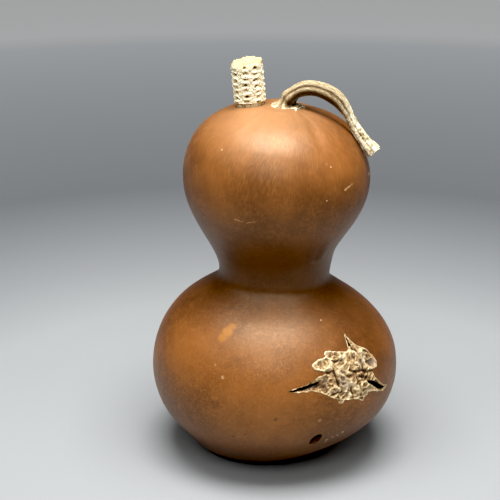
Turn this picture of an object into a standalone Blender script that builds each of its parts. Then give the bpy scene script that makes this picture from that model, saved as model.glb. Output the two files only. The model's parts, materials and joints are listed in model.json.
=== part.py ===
# A dried bottle gourd kept as a vessel: a hollow two-lobed shell, the curled dry stem that grew on its
# crown, a shelled corn cob pushed into a hole beside the stem as the stopper, and a corky star-shaped
# burst low on one flank.
# Metres, +Z up. The gourd stands on the origin's plane, and the burst faces -Y and +X.

from math import cos, pi, radians, sin, tau

import bmesh
import bpy
import numpy as np
from mathutils import Matrix, Vector, noise

MM = 0.001

# Outside of the shell: half-width and height, from the middle of the foot up to the crown
PROFILE = [(0, 0), (20, 0), (46.5, 4), (60, 14), (79.5, 33.5), (87.2, 61), (79.8, 90.5), (62.6, 110), (46, 121.5),
           (39.4, 128.5), (39.2, 136), (42.5, 147.5), (54.8, 169), (63.7, 192.5), (62.8, 212.5), (53, 232),
           (34, 245), (14, 250), (0, 250)]
# How far the middle of the shell strays sideways: height and shift towards +X
LEAN = [(0, -12), (14, -5.2), (34, -1), (61, 0), (90, -0.8), (119, -2.4), (134, 0), (150, -0.4), (170, 0.4),
        (212, 0.2), (250, -3.3)]
FOOT_RADIUS = 20 * MM
CROWN_HEIGHT = 250 * MM
BELLY_WALL = 5 * MM
CROWN_WALL = 9 * MM

SHELL_SIDES = 54
SHELL_RINGS = 44
CAVITY_SIDES = 28
CAVITY_RINGS = 20

STEM_ROOT = Vector((6.8, -2, 250)) * MM
STEM_PEG_RADIUS = 6.5 * MM
STEM_PEG_DEPTH = 4 * MM
# Middle of the stem from its root over the arch to the broken end, and the stem's half-thickness there
STEM_ROUTE = [(6.8, -2, 247, 12.5), (6.8, -2, 250, 11.4), (6.9, -2.1, 252, 6.9), (8.6, -2.3, 254.8, 5.2),
              (11.4, -2.8, 258, 4.9), (17, -3.8, 261.6, 5.1), (24, -5, 262.8, 5.2), (33.5, -6.6, 260.5, 5.4),
              (42, -8, 254.9, 5.1), (47.8, -9, 246.8, 3.9), (52.3, -10.2, 238.5, 3.7), (55.8, -11.6, 233.4, 3.9),
              (60.2, -13.6, 227.6, 4.4), (64.4, -14.8, 223, 5.2), (65.9, -15.2, 221.4, 4.9)]
STEM_RIBS = 5
STEM_RIB_SHARE = 0.13
STEM_TWIST = radians(70)
STEM_STATIONS = 32
STEM_SIDES = 20

COB_FOOT = Vector((-17.3, 4, 249.8)) * MM
COB_LEAN = radians(-5)
COB_RADIUS = 10.9 * MM
COB_HEIGHT = 29.5 * MM
COB_NECK_RADIUS = 9.2 * MM
COB_NECK_HEIGHT = 2.6 * MM
COB_PLUG_DEPTH = 26 * MM
COB_PLUG_TIP_RADIUS = 7.6 * MM
CUPULE_COLUMNS = 8
CUPULE_ROWS = 9
CUPULE_RELIEF = 0.75 * MM
COB_SIDES = 48

# The burst, as sideways and upward distances over the skin from BURST_AT, which is a distance up the
# profile from the foot's middle and a bearing
BURST_AT = (142.3 * MM, radians(-57.4))
BURST_OUTLINE = [(-41.5, -6.9), (-33, -8.4), (-24, -8), (-19, -9.8), (-14, -12.2), (-11, -14.6), (-6.5, -17),
                 (-5.5, -20.4), (-1.8, -20.6), (-0.8, -18.6), (6, -20), (10, -21), (14.5, -24), (17, -21.4),
                 (20.5, -19.4), (25, -20), (30, -22.4), (36.5, -24.6), (45.5, -22.4), (38.6, -20), (33, -15.4),
                 (27.6, -10), (26.4, -4.8), (32.4, -5.4), (33, -2.7), (32.4, 2.7), (30.8, 6), (28.8, 9.6),
                 (24.7, 11.8), (20.5, 16.2), (18.6, 20), (17.4, 25), (15, 22.8), (13.4, 18.7), (12, 14.6),
                 (9.3, 13.2), (1.7, 15), (-6.9, 17.1), (-9.9, 15.2), (-8.8, 13.4), (-16.3, 12.4), (-21.8, 9.6),
                 (-20.5, 6.4), (-14.2, 3.8), (-13.2, 2.4), (-19.2, 1.1), (-24, -1), (-28, -2.6), (-35, -4.4)]
BURST_SINK = 2 * MM
BURST_CELL = 3.1 * MM
BURST_RIM = 1.3 * MM
BURST_FLOOR = -0.3 * MM
# The three tears that run out of the burst: points down the middle, and the half-width at the widest
TEARS = {
    "left": ([(-39.5, -6.6), (-34, -6.2), (-29, -5.4), (-23.5, -4.1), (-17, -1.9)], 1.1),
    "top": ([(16.2, 22.6), (15.8, 19), (15.8, 15.5), (16.3, 11.5)], 0.75),
    "right": ([(19.5, -11), (24, -13.2), (28.5, -16.6), (33.5, -20.2), (38.5, -22.2)], 1.7),
}
WORM_HOLE_AT = (95.3 * MM, radians(-70.1))
WORM_HOLE_HALF = (3.7, 5.4)
WORM_HOLE_TURN = radians(-24)
WORM_HOLE_POINTS = 20
CUT_CELL = 5 * MM
CUT_PROUD = 8 * MM
CUT_DEEP = 14 * MM

GAP = 0.3 * MM
MERGE = 0.00005


def start_empty():
    for item in list(bpy.data.objects):
        bpy.data.objects.remove(item, do_unlink=True)


def new_collection(name):
    made = bpy.data.collections.new(name)
    bpy.context.scene.collection.children.link(made)
    return made


def smooth_through(knots, values, first_slope, last_slope):
    # A cubic through the values with an even bend, as a function of the distance along the knots
    knots, values = np.array(knots, float), np.array(values, float)
    step = np.diff(knots)
    count = len(knots)
    grid, right = np.eye(count), np.zeros(count)
    right[0], right[-1] = first_slope, last_slope
    for i in range(1, count - 1):
        before, after = step[i - 1], step[i]
        grid[i, i - 1:i + 2] = after, 2 * (before + after), before
        right[i] = 3 * (after * (values[i] - values[i - 1]) / before + before * (values[i + 1] - values[i]) / after)
    slopes = np.linalg.solve(grid, right)

    def value_at(where):
        where = np.asarray(where, float)
        i = np.clip(np.searchsorted(knots, where, side="right") - 1, 0, count - 2)
        span = step[i]
        t = (where - knots[i]) / span
        return ((2 * t**3 - 3 * t**2 + 1) * values[i] + (t**3 - 2 * t**2 + t) * span * slopes[i]
                + (3 * t**2 - 2 * t**3) * values[i + 1] + (t**3 - t**2) * span * slopes[i + 1])

    return value_at


def fade(low, high, value):
    # 0 below low, 1 above high, and a smooth step between them
    t = np.clip((value - low) / (high - low), 0, 1)
    return t * t * (3 - 2 * t)


profile = np.array(PROFILE) * MM
profile_knots = np.concatenate(([0], np.cumsum(np.hypot(*np.diff(profile, axis=0).T))))
PROFILE_LENGTH = profile_knots[-1]
radius_at = smooth_through(profile_knots, profile[:, 0], 1, -1)
height_at = smooth_through(profile_knots, profile[:, 1], 0, 0)
lean_at = smooth_through([z * MM for z, _ in LEAN], [x * MM for _, x in LEAN], 0.5, -0.1)


def furrow(distance, bearing, aim, curl, depth, half_width, reach):
    # One groove that runs out over the crown from the stem, bending by curl as it goes
    off = bearing - aim - curl * np.exp(-distance / (14 * MM))
    off = (off + pi) % tau - pi
    across = off * distance / half_width
    along = fade(7 * MM, 14 * MM, distance) * (1 - fade(reach * 0.5, reach, distance))
    return -depth * np.exp(-across**2) * along


def skin_relief(x, y, z):
    # How far the rind stands out from, or lies under, the plain turned shape
    out_x, out_y = x - STEM_ROOT.x, y - STEM_ROOT.y
    distance, bearing = np.hypot(out_x, out_y), np.arctan2(out_y, out_x)
    relief = furrow(distance, bearing, radians(0), radians(-22), 1.5 * MM, 2.6 * MM, 62 * MM)
    relief = relief - furrow(distance, bearing, radians(14), radians(-20), 0.9 * MM, 5 * MM, 60 * MM)
    relief = relief + furrow(distance, bearing, radians(-62), radians(40), 0.6 * MM, 3.4 * MM, 58 * MM)
    relief = relief + furrow(distance, bearing, radians(75), radians(10), 0.7 * MM, 3.6 * MM, 56 * MM)
    relief = relief + furrow(distance, bearing, radians(118), radians(-12), 0.6 * MM, 4 * MM, 50 * MM)
    turn = np.arctan2(y, x)
    swell = 0.35 * MM * np.sin(3 * turn + z / (30 * MM)) + 0.25 * MM * np.sin(5 * turn - z / (21 * MM) + 1)
    on_crown = (z > CROWN_HEIGHT / 2) * (1 - fade(CROWN_HEIGHT * 0.99, CROWN_HEIGHT, z))
    swell = swell * fade(6 * MM, 30 * MM, z) * np.where(z > CROWN_HEIGHT / 2, on_crown, 1)
    return np.where(z > CROWN_HEIGHT * 0.6, relief, 0) + swell


def skin_point(along, bearing, lift=0.0):
    # The point at a distance up the profile and a bearing, lifted off the skin along its normal
    along = np.clip(along, 0, PROFILE_LENGTH)
    nudge = 0.2 * MM
    low, high = np.maximum(along - nudge, 0), np.minimum(along + nudge, PROFILE_LENGTH)
    across, up = radius_at(high) - radius_at(low), height_at(high) - height_at(low)
    size = np.hypot(across, up)
    outward, upward = up / size, -across / size
    radius, height = radius_at(along), np.where(along <= FOOT_RADIUS, 0, height_at(along))
    shift = lean_at(height)
    x, y = shift + radius * np.cos(bearing), radius * np.sin(bearing)
    lift = lift + skin_relief(x, y, height)
    x, y = x + lift * outward * np.cos(bearing), y + lift * outward * np.sin(bearing)
    return np.stack([x, y, height + lift * upward], -1)


def move_vertices(mesh, rule):
    # Every vertex goes where the rule puts it; the rule takes and gives an array of points
    count = len(mesh.vertices)
    points = np.empty(count * 3)
    mesh.vertices.foreach_get("co", points)
    mesh.vertices.foreach_set("co", rule(points.reshape(-1, 3)).ravel())
    mesh.update()


def baked(piece):
    # The piece with its modifiers, or its curve, made into a plain mesh whose cap edges are welded
    bpy.context.view_layer.update()
    seen = piece.evaluated_get(bpy.context.evaluated_depsgraph_get())
    mesh = bpy.data.meshes.new_from_object(seen)
    shape = bmesh.new()
    shape.from_mesh(mesh)
    bmesh.ops.remove_doubles(shape, verts=shape.verts, dist=MERGE)
    bmesh.ops.recalc_face_normals(shape, faces=shape.faces)
    shape.to_mesh(mesh)
    shape.free()
    name, collection, place = piece.name, piece.users_collection[0], piece.matrix_world.copy()
    bpy.data.objects.remove(piece, do_unlink=True)
    mesh.name = name
    made = bpy.data.objects.new(name, mesh)
    made.matrix_world = place
    collection.objects.link(made)
    return made


def turned(name, outline, sides, collection):
    # A profile of radius and height, from the top down, turned round the Z axis into a closed mesh
    mesh = bpy.data.meshes.new(name)
    points = [(radius, 0, height) for radius, height in outline]
    mesh.from_pydata(points, [(i, i + 1) for i in range(len(points) - 1)], [])
    piece = bpy.data.objects.new(name, mesh)
    collection.objects.link(piece)
    screw = piece.modifiers.new("turn", "SCREW")
    screw.steps = screw.render_steps = sides
    screw.use_merge_vertices = True
    screw.merge_threshold = MERGE
    return baked(piece)


def skin_body(name, sides, rings, lift_at, collection):
    # A closed body that follows the skin. It is turned as a plain spindle whose height is the distance
    # along the profile, and then every vertex goes to its place on the skin, moved off it by lift_at.
    stations = np.linspace(PROFILE_LENGTH, 0, rings)
    stations[-2] = FOOT_RADIUS * 0.5
    stations[-3] = FOOT_RADIUS
    spindle = [(0 if i in (0, rings - 1) else FOOT_RADIUS, along) for i, along in enumerate(stations)]
    body = turned(name, spindle, sides, collection)

    def onto_skin(points):
        bearing = np.arctan2(points[:, 1], points[:, 0])
        return skin_point(points[:, 2], bearing, lift_at(points[:, 2]))

    move_vertices(body.data, onto_skin)
    return body


def wall_at(along):
    # Thickness of the shell: even, and half as thick again under the crown, where the stem grew
    return BELLY_WALL + (CROWN_WALL - BELLY_WALL) * fade(CROWN_HEIGHT * 0.9, CROWN_HEIGHT, height_at(along))


def edge_distance(x, y, outline):
    # How far a point is from the nearest side of an outline
    points = np.array(outline)
    start, side = points, np.roll(points, -1, 0) - points
    away = np.array((x, y)) - start
    share = np.clip((away * side).sum(1) / (side * side).sum(1), 0, 1)
    return np.hypot(*(away - side * share[:, None]).T).min()


def skin_slab(name, origin, outline, low, high, cell, collection, rough=None):
    # A flat outline cut into cells, thickened from low to high, and laid over the skin round origin
    shape = bmesh.new()
    shape.faces.new([shape.verts.new((x * MM, y * MM, 0)) for x, y in outline])
    bounds = np.array(outline) * MM
    for axis, normal in enumerate((Vector((1, 0, 0)), Vector((0, 1, 0)))):
        low_side, high_side = bounds[:, axis].min(), bounds[:, axis].max()
        for at in np.arange(low_side + cell / 2, high_side, cell):
            everything = shape.verts[:] + shape.edges[:] + shape.faces[:]
            bmesh.ops.bisect_plane(shape, geom=everything, dist=1e-7, plane_co=normal * at, plane_no=normal)
    bmesh.ops.remove_doubles(shape, verts=shape.verts, dist=MERGE * 2)
    bmesh.ops.triangulate(shape, faces=shape.faces)
    top = bmesh.ops.extrude_face_region(shape, geom=shape.faces[:])
    raised = [item for item in top["geom"] if isinstance(item, bmesh.types.BMVert)]
    for vert in shape.verts:
        vert.co.z = low
    for vert in raised:
        vert.co.z = high + (rough(vert.co.x, vert.co.y) if rough else 0)
    bmesh.ops.recalc_face_normals(shape, faces=shape.faces)
    mesh = bpy.data.meshes.new(name)
    shape.to_mesh(mesh)
    shape.free()
    middle = float(radius_at(origin[0]))

    def lay(points):
        return skin_point(origin[0] + points[:, 1], origin[1] + points[:, 0] / middle, points[:, 2])

    move_vertices(mesh, lay)
    slab = bpy.data.objects.new(name, mesh)
    collection.objects.link(slab)
    return slab


def grown(outline, by):
    # The outline with every corner moved outward, for the clearance round a let-in piece
    points = np.array(outline, float)
    before, after = points - np.roll(points, 1, 0), np.roll(points, -1, 0) - points
    normals = [np.stack([side[:, 1], -side[:, 0]], -1) / np.hypot(*side.T)[:, None] for side in (before, after)]
    middle = normals[0] + normals[1]
    middle /= np.hypot(*middle.T)[:, None]
    reach = by / np.maximum((middle * normals[0]).sum(1), 0.5)
    return [tuple(point) for point in points + middle * reach[:, None]]


def tear_outline(middle, half_width):
    # A lens round a middle line: pointed at both ends, and widest two thirds of the way in
    line = np.array(middle, float)
    run = np.concatenate(([0], np.cumsum(np.hypot(*np.diff(line, axis=0).T))))
    stations = np.linspace(0, run[-1], 9)
    line = np.stack([np.interp(stations, run, line[:, i]) for i in (0, 1)], -1)
    heading = np.gradient(line, axis=0)
    heading /= np.hypot(*heading.T)[:, None]
    side = np.stack([heading[:, 1], -heading[:, 0]], -1)
    width = half_width * np.sin(np.linspace(0, pi, len(line)))**0.6
    low, high = line + side * width[:, None], line - side * width[:, None]
    return [tuple(point) for point in np.concatenate((low, high[-2:0:-1]))]


def ellipse_outline(half, turn, count):
    points = [(half[0] * cos(tau * i / count), half[1] * sin(tau * i / count)) for i in range(count)]
    return [(x * cos(turn) - y * sin(turn), x * sin(turn) + y * cos(turn)) for x, y in points]


def rod(name, top, bottom, top_radius, bottom_radius, sides, collection):
    # A round cutter or peg with flat ends between two points
    top, bottom = Vector(top), Vector(bottom)
    shape = bmesh.new()
    bmesh.ops.create_cone(shape, cap_ends=True, segments=sides, radius1=bottom_radius, radius2=top_radius,
                          depth=(top - bottom).length)
    turn = (top - bottom).to_track_quat("Z", "Y").to_matrix().to_4x4()
    bmesh.ops.transform(shape, matrix=Matrix.Translation((top + bottom) / 2) @ turn, verts=shape.verts)
    mesh = bpy.data.meshes.new(name)
    shape.to_mesh(mesh)
    shape.free()
    piece = bpy.data.objects.new(name, mesh)
    collection.objects.link(piece)
    return piece


def boolean(piece, other, operation="DIFFERENCE"):
    step = piece.modifiers.new(other.name, "BOOLEAN")
    step.operation = operation
    step.object = other
    step.solver = "EXACT"
    other.hide_render = True
    other.display_type = "WIRE"


def painted(piece, colour, roughness):
    material = bpy.data.materials.new(piece.name)
    material.use_nodes = True
    shader = material.node_tree.nodes["Principled BSDF"]
    shader.inputs["Base Color"].default_value = (*colour, 1)
    shader.inputs["Roughness"].default_value = roughness
    shader.inputs["Metallic"].default_value = 0
    piece.data.materials.clear()
    piece.data.materials.append(material)
    piece.data.shade_smooth()
    piece.data.set_sharp_from_angle(angle=radians(45))


def burst_relief(x, y):
    # The corky face: a curled rim just inside the outline, a sunken floor, and folds from fixed noise
    place = Vector((x / MM, y / MM, 3.7))
    rim = BURST_RIM * np.exp(-((edge_distance(place.x, place.y, BURST_OUTLINE) - 1.6) / 1.6)**2)
    folds = max(1 - abs(noise.noise(place / 9)) * 5, 0)
    lumps = noise.noise(place / 6) * 1.3 + noise.noise(place / 3) * 0.6
    return max(BURST_FLOOR + rim + (0.9 * folds + lumps) * MM, -1.1 * MM)


def make_cob(parts, cutters):
    # The shelled cob: rows of empty cupules above the rind, and a whittled plug down in the hole
    step = (COB_HEIGHT - COB_NECK_HEIGHT) / CUPULE_ROWS
    rows = [COB_NECK_HEIGHT + step * (i + 0.5) / 3 for i in range(CUPULE_ROWS * 3)]
    crown = [(0, COB_HEIGHT + 1.6 * MM), (COB_RADIUS * 0.35, COB_HEIGHT + 1.3 * MM),
             (COB_RADIUS * 0.7, COB_HEIGHT + 0.6 * MM), (COB_RADIUS * 0.94, COB_HEIGHT)]
    flank = [(COB_RADIUS, height) for height in reversed(rows)]
    plug = [(COB_NECK_RADIUS + 0.4 * MM, COB_NECK_HEIGHT), (COB_NECK_RADIUS, COB_NECK_HEIGHT - 1.2 * MM),
            (COB_NECK_RADIUS - 0.2 * MM, -9 * MM), (COB_PLUG_TIP_RADIUS, -COB_PLUG_DEPTH + 1.5 * MM),
            (COB_PLUG_TIP_RADIUS - 1.5 * MM, -COB_PLUG_DEPTH), (0, -COB_PLUG_DEPTH)]
    cob = turned("cob_stopper", crown + flank + plug, COB_SIDES, parts)

    def cupules(points):
        turn, height = np.arctan2(points[:, 1], points[:, 0]), points[:, 2]
        reach = np.hypot(points[:, 0], points[:, 1])
        column = np.cos(CUPULE_COLUMNS * turn)
        odd = np.sign(np.cos(CUPULE_COLUMNS * turn / 2))
        row = np.cos(tau * (height - COB_NECK_HEIGHT) / step + pi / 2 * odd)
        lip = CUPULE_RELIEF * (0.55 * row - 0.45 * column * (1 - row) / 2)
        lip = lip * (height > COB_NECK_HEIGHT + step / 8) * (height < COB_HEIGHT - step / 8)
        scale = 1 + lip / np.maximum(reach, 1 * MM)
        points[:, 0] *= scale
        points[:, 1] *= scale
        on_top = height > COB_HEIGHT - step / 8
        rise = 1.1 * MM * np.cos(turn - radians(20)) * reach / COB_RADIUS + 0.5 * MM * np.sin(3 * turn + 1)
        points[:, 2] += np.where(on_top, rise * (reach > 1 * MM), 0)
        return points

    move_vertices(cob.data, cupules)
    set_upright = Matrix.Rotation(COB_LEAN, 4, "Y")
    cob.data.transform(set_upright)
    cob.location = COB_FOOT
    axis = set_upright @ Vector((0, 0, 1))
    hole_radius = COB_NECK_RADIUS + GAP
    mouth = rod("mouth_drill", COB_FOOT + axis * 20 * MM, COB_FOOT - axis * 30 * MM, hole_radius, hole_radius,
                COB_SIDES, cutters)
    return cob, mouth


def make_stem(parts, cutters):
    # The ribbed stalk: a star-shaped section drawn along the arch, thickest at its root and broken end
    stalk_line = np.array(STEM_ROUTE, float) * MM
    run = np.concatenate(([0], np.cumsum(np.sqrt((np.diff(stalk_line[:, :3], axis=0)**2).sum(1)))))
    tracks = [smooth_through(run, stalk_line[:, i], (stalk_line[1, i] - stalk_line[0, i]) / run[1],
                             (stalk_line[-1, i] - stalk_line[-2, i]) / (run[-1] - run[-2])) for i in range(4)]
    stations = run[-1] * np.linspace(0, 1, STEM_STATIONS)**1.15
    section = bpy.data.curves.new("stem_section", "CURVE")
    ring = section.splines.new("POLY")
    ring.points.add(STEM_SIDES - 1)
    ring.use_cyclic_u = True
    for i, point in enumerate(ring.points):
        turn = tau * i / STEM_SIDES
        reach = 1 + STEM_RIB_SHARE * (cos(STEM_RIBS * turn) - 0.3)
        point.co = (reach * cos(turn), reach * sin(turn), 0, 1)
    section_object = bpy.data.objects.new("stem_section", section)
    cutters.objects.link(section_object)
    section_object.hide_render = True
    route = bpy.data.curves.new("stem", "CURVE")
    route.dimensions = "3D"
    route.twist_mode = "MINIMUM"
    route.bevel_mode = "OBJECT"
    route.bevel_object = section_object
    route.use_fill_caps = True
    spline = route.splines.new("POLY")
    spline.points.add(len(stations) - 1)
    for point, station in zip(spline.points, stations):
        point.co = (*(float(track(station)) for track in tracks[:3]), 1)
        point.radius = float(tracks[3](station))
        point.tilt = STEM_TWIST * station / run[-1]
    stalk = bpy.data.objects.new("stem", route)
    parts.objects.link(stalk)
    stalk = baked(stalk)
    rind = skin_body("stem_bed", SHELL_SIDES, SHELL_RINGS, lambda along: GAP, cutters)
    boolean(stalk, rind)
    top = STEM_ROOT + Vector((0, 0, 3 * MM))
    foot = STEM_ROOT - Vector((0, 0, STEM_PEG_DEPTH))
    boolean(stalk, rod("stem_peg", top, foot, STEM_PEG_RADIUS, STEM_PEG_RADIUS, 24, cutters), "UNION")
    socket_foot = foot - Vector((0, 0, GAP))
    socket_radius = STEM_PEG_RADIUS + GAP
    socket = rod("stem_socket", top + Vector((0, 0, 5 * MM)), socket_foot, socket_radius, socket_radius, 24, cutters)
    return stalk, socket


def make_burst(parts, cutters):
    # The corky star let into the rind, the pocket it sits in, and the tears through both
    burst = skin_slab("burst", BURST_AT, BURST_OUTLINE, -BURST_SINK, 0, BURST_CELL, parts, burst_relief)
    pocket = skin_slab("burst_pocket", BURST_AT, grown(BURST_OUTLINE, GAP / MM), -BURST_SINK - GAP, CUT_PROUD,
                       BURST_CELL, cutters)
    tears = []
    for name, (middle, half_width) in TEARS.items():
        outline = tear_outline(middle, half_width)
        tears.append(skin_slab("tear_" + name, BURST_AT, outline, -CUT_DEEP, CUT_PROUD, CUT_CELL, cutters))
    for tear in tears:
        boolean(burst, tear)
    return burst, pocket, tears


def make_gourd(parts, cutters, mouth, socket, pocket, tears):
    # The shell: its skin less the cavity, the mouth, the stem's socket, the burst's bed and the holes
    gourd = skin_body("gourd", SHELL_SIDES, SHELL_RINGS, lambda along: 0, parts)
    cavity = skin_body("cavity", CAVITY_SIDES, CAVITY_RINGS, lambda along: -wall_at(along), cutters)
    hole = skin_slab("worm_hole", WORM_HOLE_AT, ellipse_outline(WORM_HOLE_HALF, WORM_HOLE_TURN, WORM_HOLE_POINTS),
                     -CUT_DEEP, CUT_PROUD, CUT_CELL, cutters)
    for cutter in (cavity, mouth, socket, pocket, *tears, hole):
        boolean(gourd, cutter)
    return gourd


def main():
    start_empty()
    parts, cutters = new_collection("bottle_gourd"), new_collection("cutters")
    cob, mouth = make_cob(parts, cutters)
    stem, socket = make_stem(parts, cutters)
    burst, pocket, tears = make_burst(parts, cutters)
    gourd = make_gourd(parts, cutters, mouth, socket, pocket, tears)
    painted(gourd, (0.36, 0.15, 0.04), 0.4)
    painted(stem, (0.5, 0.42, 0.27), 0.8)
    painted(cob, (0.72, 0.62, 0.38), 0.9)
    painted(burst, (0.56, 0.43, 0.25), 0.9)


main()
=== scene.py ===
# A dried bottle gourd kept as a vessel: a hollow two-lobed shell, its curled dry stem, a shelled corn
# cob as the stopper, and a corky star-shaped burst low on one flank. Metres, +Z up, burst towards -Y.
import json
from functools import partial
from math import cos, pi, radians, sin, tau

import bmesh
import bpy
import numpy as np
from mathutils import Matrix, Vector, noise
from mathutils.bvhtree import BVHTree

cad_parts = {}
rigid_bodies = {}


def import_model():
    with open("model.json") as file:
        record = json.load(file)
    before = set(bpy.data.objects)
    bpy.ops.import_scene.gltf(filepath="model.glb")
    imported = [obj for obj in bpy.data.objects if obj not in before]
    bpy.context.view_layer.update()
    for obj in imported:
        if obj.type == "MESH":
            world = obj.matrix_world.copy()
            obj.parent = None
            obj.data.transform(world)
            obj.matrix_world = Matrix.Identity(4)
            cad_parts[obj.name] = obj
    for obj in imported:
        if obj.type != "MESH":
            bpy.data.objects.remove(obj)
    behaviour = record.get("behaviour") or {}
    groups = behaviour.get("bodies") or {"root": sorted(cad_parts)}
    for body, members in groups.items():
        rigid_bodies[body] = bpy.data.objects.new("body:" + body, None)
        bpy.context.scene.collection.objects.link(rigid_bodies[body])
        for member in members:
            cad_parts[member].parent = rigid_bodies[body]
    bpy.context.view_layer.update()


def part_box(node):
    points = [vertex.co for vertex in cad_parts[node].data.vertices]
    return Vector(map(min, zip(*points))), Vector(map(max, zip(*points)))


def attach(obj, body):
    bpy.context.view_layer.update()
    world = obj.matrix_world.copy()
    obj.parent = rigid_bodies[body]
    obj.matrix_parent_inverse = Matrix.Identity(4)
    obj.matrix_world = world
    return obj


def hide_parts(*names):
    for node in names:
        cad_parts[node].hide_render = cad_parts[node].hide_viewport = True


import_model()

mm = 0.001
scene = bpy.context.scene
pieces = bpy.data.collections.new("dressedGourd")
cutters = bpy.data.collections.new("cutters")
scene.collection.children.link(pieces)
scene.collection.children.link(cutters)
print("frame loaded")

# The outside of the shell, as in the source of the part: half-width and height in mm from the foot up,
# and how far its middle strays sideways at each height
shell = {
    "profile": [
        (0, 0), (20, 0), (46.5, 4), (60, 14), (79.5, 33.5), (87.2, 61), (79.8, 90.5), (62.6, 110),
        (46, 121.5), (39.4, 128.5), (39.2, 136), (42.5, 147.5), (54.8, 169), (63.7, 192.5), (62.8, 212.5),
        (53, 232), (34, 245), (14, 250), (0, 250)],
    "lean": [
        (0, -12), (14, -5.2), (34, -1), (61, 0), (90, -0.8), (119, -2.4), (134, 0), (150, -0.4),
        (170, 0.4), (212, 0.2), (250, -3.3)],
    "footRadius": 20 * mm,
    "crownHeight": 250 * mm,
    "bellyWall": 5 * mm,
    "crownWall": 9 * mm,
    "stemRoot": Vector((6.8, -2, 250)) * mm,
    "headRadius": 62 * mm,
    # furrows that run out over the crown: bearing and curl in degrees, depth, half-width and reach in mm
    "furrows": [
        (0, -22, 1.5, 2.6, 62), (14, -20, -0.9, 5, 60), (-62, 40, 0.6, 3.4, 58), (75, 10, 0.7, 3.6, 56),
        (118, -12, 0.6, 4, 50)],
    "lumps": [(0.16, 15), (0.05, 5)],      # depth and size in mm of what the hand feels
    "wrinkleDepth": 0.3 * mm,
    "wrinkleLength": 38 * mm,
    "wrinklesRound": 7,
    "sides": 300,
    "rings": 268,
    "cavitySides": 64,
    "cavityRings": 52,
}


def smoothThrough(knots, values, firstSlope, lastSlope):
    # a cubic through the values with an even bend, as a function of the distance along the knots
    knots, values = np.array(knots, float), np.array(values, float)
    step = np.diff(knots)
    count = len(knots)
    grid, right = np.eye(count), np.zeros(count)
    right[0], right[-1] = firstSlope, lastSlope
    for i in range(1, count - 1):
        before, after = step[i - 1], step[i]
        grid[i, i - 1:i + 2] = after, 2 * (before + after), before
        rise, nextRise = values[i] - values[i - 1], values[i + 1] - values[i]
        right[i] = 3 * (after * rise / before + before * nextRise / after)
    slopes = np.linalg.solve(grid, right)

    def valueAt(where):
        where = np.asarray(where, float)
        i = np.clip(np.searchsorted(knots, where, side="right") - 1, 0, count - 2)
        span = step[i]
        t = (where - knots[i]) / span
        return ((2 * t**3 - 3 * t**2 + 1) * values[i] + (t**3 - 2 * t**2 + t) * span * slopes[i]
                + (3 * t**2 - 2 * t**3) * values[i + 1] + (t**3 - t**2) * span * slopes[i + 1])

    return valueAt


def fade(low, high, value):
    # 0 below low, 1 above high, and a smooth step between
    t = np.clip((value - low) / (high - low), 0, 1)
    return t * t * (3 - 2 * t)


def lumps(points, size, seed):
    # soft noise, about -1 to 1, with bumps of the given size
    shift = Vector((seed * 7.3, seed * 3.1, seed * 5.7))
    return np.array([noise.noise(Vector(point) / size + shift) for point in points])


profile = np.array(shell["profile"]) * mm
profileKnots = np.concatenate(([0], np.cumsum(np.hypot(*np.diff(profile, axis=0).T))))
profileLength = profileKnots[-1]
radiusAt = smoothThrough(profileKnots, profile[:, 0], 1, -1)
heightAt = smoothThrough(profileKnots, profile[:, 1], 0, 0)
leanAt = smoothThrough([z * mm for z, _ in shell["lean"]], [x * mm for _, x in shell["lean"]], 0.5, -0.1)
stemRoot = shell["stemRoot"]


def around(turn, spread, height):
    # places on a ring or a tube for the noise, so that it closes on itself
    return np.stack([np.cos(turn) * spread, np.sin(turn) * spread, np.broadcast_to(height, turn.shape)], -1)


def furrow(distance, bearing, aim, curl, depth, halfWidth, reach):
    # one groove that runs out over the crown from the stem and straightens on its way
    off = bearing - aim - curl * np.exp(-distance / (14 * mm))
    off = (off + pi) % tau - pi
    across = off * distance / halfWidth
    along = fade(7 * mm, 14 * mm, distance) * (1 - fade(reach * 0.5, reach, distance))
    return -depth * np.exp(-across**2) * along


def skinRelief(x, y, z):
    # how far the rind stands out from the plain turned shape, as in the source of the part
    outX, outY = x - stemRoot.x, y - stemRoot.y
    distance, bearing = np.hypot(outX, outY), np.arctan2(outY, outX)
    relief = 0
    for aim, curl, depth, halfWidth, reach in shell["furrows"]:
        relief = relief + furrow(distance, bearing, radians(aim), radians(curl), depth * mm, halfWidth * mm,
                                 reach * mm)
    turn = np.arctan2(y, x)
    swell = 0.35 * mm * np.sin(3 * turn + z / (30 * mm)) + 0.25 * mm * np.sin(5 * turn - z / (21 * mm) + 1)
    crown = shell["crownHeight"]
    swell = swell * fade(6 * mm, 30 * mm, z) * np.where(z > crown / 2, 1 - fade(crown * 0.99, crown, z), 1)
    return np.where(z > crown * 0.6, relief, 0) + swell


def skinPoint(along, bearing, lift=0.0):
    # the point at a distance up the profile and a bearing, lifted off the skin along its normal
    along = np.clip(along, 0, profileLength)
    nudge = 0.2 * mm
    low, high = np.maximum(along - nudge, 0), np.minimum(along + nudge, profileLength)
    across, up = radiusAt(high) - radiusAt(low), heightAt(high) - heightAt(low)
    size = np.hypot(across, up)
    outward, upward = up / size, -across / size
    radius, height = radiusAt(along), np.where(along <= shell["footRadius"], 0, heightAt(along))
    shift = leanAt(height)
    x, y = shift + radius * np.cos(bearing), radius * np.sin(bearing)
    lift = lift + skinRelief(x, y, height)
    x, y = x + lift * outward * np.cos(bearing), y + lift * outward * np.sin(bearing)
    return np.stack([x, y, height + lift * upward], -1)


def meshPoints(mesh):
    points = np.empty(len(mesh.vertices) * 3)
    mesh.vertices.foreach_get("co", points)
    return points.reshape(-1, 3)


def setPoints(mesh, points):
    mesh.vertices.foreach_set("co", np.ascontiguousarray(points).ravel())
    mesh.update()


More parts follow.
